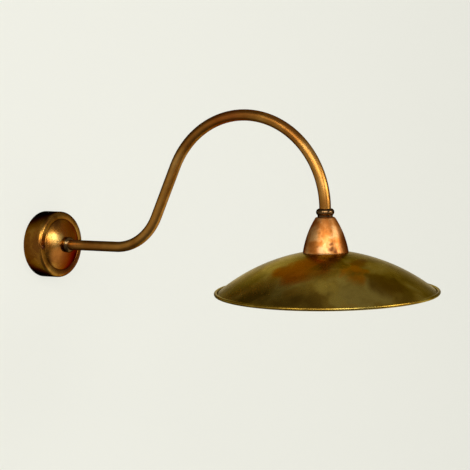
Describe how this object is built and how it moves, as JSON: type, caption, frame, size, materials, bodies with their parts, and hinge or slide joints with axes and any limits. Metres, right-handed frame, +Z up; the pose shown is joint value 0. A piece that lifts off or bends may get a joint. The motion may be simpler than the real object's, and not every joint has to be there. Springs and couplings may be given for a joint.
{
  "type": "gooseneck wall sconce",
  "caption": "Gooseneck wall sconce in aged brass: domed round rose, S-bent tube arm, bright copper cup and a wide shallow dish shade with a rolled edge.",
  "frame": {"origin": "centre of the bracket's back on the wall, on the rose's axis, in the middle of the two wall slots", "axes": "+Z up, +Y into the wall, the arm reaches out along -Y, +X to the right of a viewer who faces the wall"},
  "size_m": [0.2894, 0.6135, 0.2508],
  "materials": {
    "aged_brass": "aged, waxed",
    "antique_brass": "dark antique patina",
    "copper": "polished copper",
    "bright_brass": "bright",
    "zinc_steel": "zinc plated",
    "nickel": "nickel plated",
    "solder": "dull",
    "pvc": "matt",
    "clear_block": "moulded",
    "porcelain": "glazed",
    "black_glass": "fused glass",
    "opal_glass": "opal"
  },
  "bodies": {
    "fixture": {"rose_cover": "aged_brass", "mounting_bracket": "zinc_steel", "cover_screws": "aged_brass", "root_washer": "zinc_steel", "root_locknut": "zinc_steel", "root_nipple": "zinc_steel", "root_collar": "aged_brass", "arm_tube": "aged_brass", "inner_lead": "pvc", "rose_cores": "pvc", "terminal_block": "clear_block", "terminal_barrels": "bright_brass", "terminal_screws": "zinc_steel", "block_screws": "zinc_steel", "earth_tag": "bright_brass", "earth_washer": "zinc_steel", "earth_screw": "bright_brass", "lamp_collar": "aged_brass", "lamp_nipple": "zinc_steel", "lamp_locknut": "zinc_steel", "copper_cup": "copper", "shade": "antique_brass", "shade_ring": "aged_brass", "holder_cap": "aged_brass", "holder_skirt": "aged_brass", "holder_core": "porcelain", "holder_screws": "bright_brass", "holder_cores": "pvc", "screw_shell": "bright_brass", "centre_contact": "bright_brass", "skirt_liner": "porcelain"},
    "bulb": {"lamp_cap": "nickel", "lamp_eyelet": "solder", "lamp_insulator": "black_glass", "lamp_glass": "opal_glass"}
  },
  "joints": [
    {"name": "bulb_unscrew", "type": "slide", "parent": "fixture", "child": "bulb", "axis": [0, 0, -1], "range_m": [0, 0.0254]}
  ]
}
